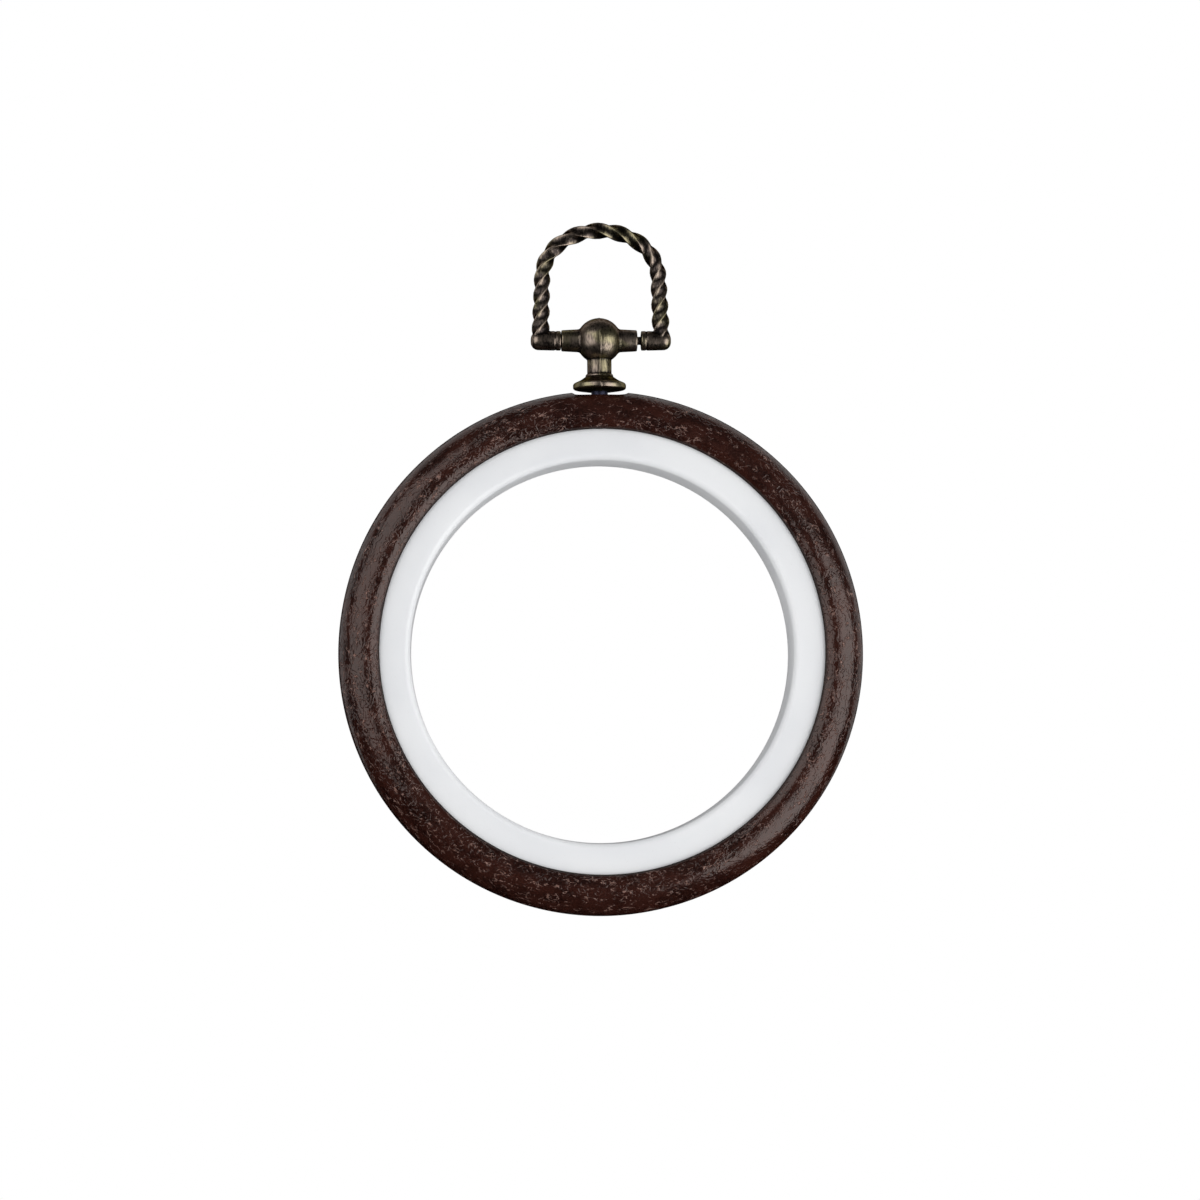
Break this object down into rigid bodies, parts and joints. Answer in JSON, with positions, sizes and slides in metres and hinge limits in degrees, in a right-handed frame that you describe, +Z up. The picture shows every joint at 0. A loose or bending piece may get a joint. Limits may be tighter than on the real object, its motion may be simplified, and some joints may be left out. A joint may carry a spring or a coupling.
{
  "type": "embroidery hoop",
  "caption": "Round screwless embroidery hoop: a soft outer ring grips a rigid inner ring, and it hangs from a swivelling cast head with a twisted bail.",
  "frame": {"origin": "the point under the top of the bail's arch where a nail carries the hoop, above the swivel's axis", "axes": "+Z up towards the bail's crown, +Y towards the hoop's back, +X to the right seen from the front"},
  "size_m": [0.095, 0.01, 0.126],
  "materials": {
    "soft_ring": "satin embossed wood grain",
    "rigid_ring": "smooth",
    "aged_brass": "antique, worn on the ridges",
    "steel_stem": "dark oxide"
  },
  "bodies": {
    "bail": {"bail": "aged_brass"},
    "head": {"hanger_head": "aged_brass", "rivet": "steel_stem"},
    "outer_ring": {"outer_ring": "soft_ring", "rivet_washer": "steel_stem"},
    "inner_ring": {"inner_ring": "rigid_ring"}
  },
  "joints": [
    {"name": "bail_pivot", "type": "hinge", "parent": "bail", "child": "head", "pos_m": [0, 0, -0.01862], "axis": [1, 0, 0], "range_deg": [-115, 115]},
    {"name": "hanger_swivel", "type": "hinge", "parent": "head", "child": "outer_ring", "pos_m": [0, 0, -0.02876], "axis": [0, 0, 1], "continuous": true},
    {"name": "inner_ring_release", "type": "slide", "parent": "outer_ring", "child": "inner_ring", "axis": [0, 1, 0], "range_m": [0, 0.02]}
  ]
}
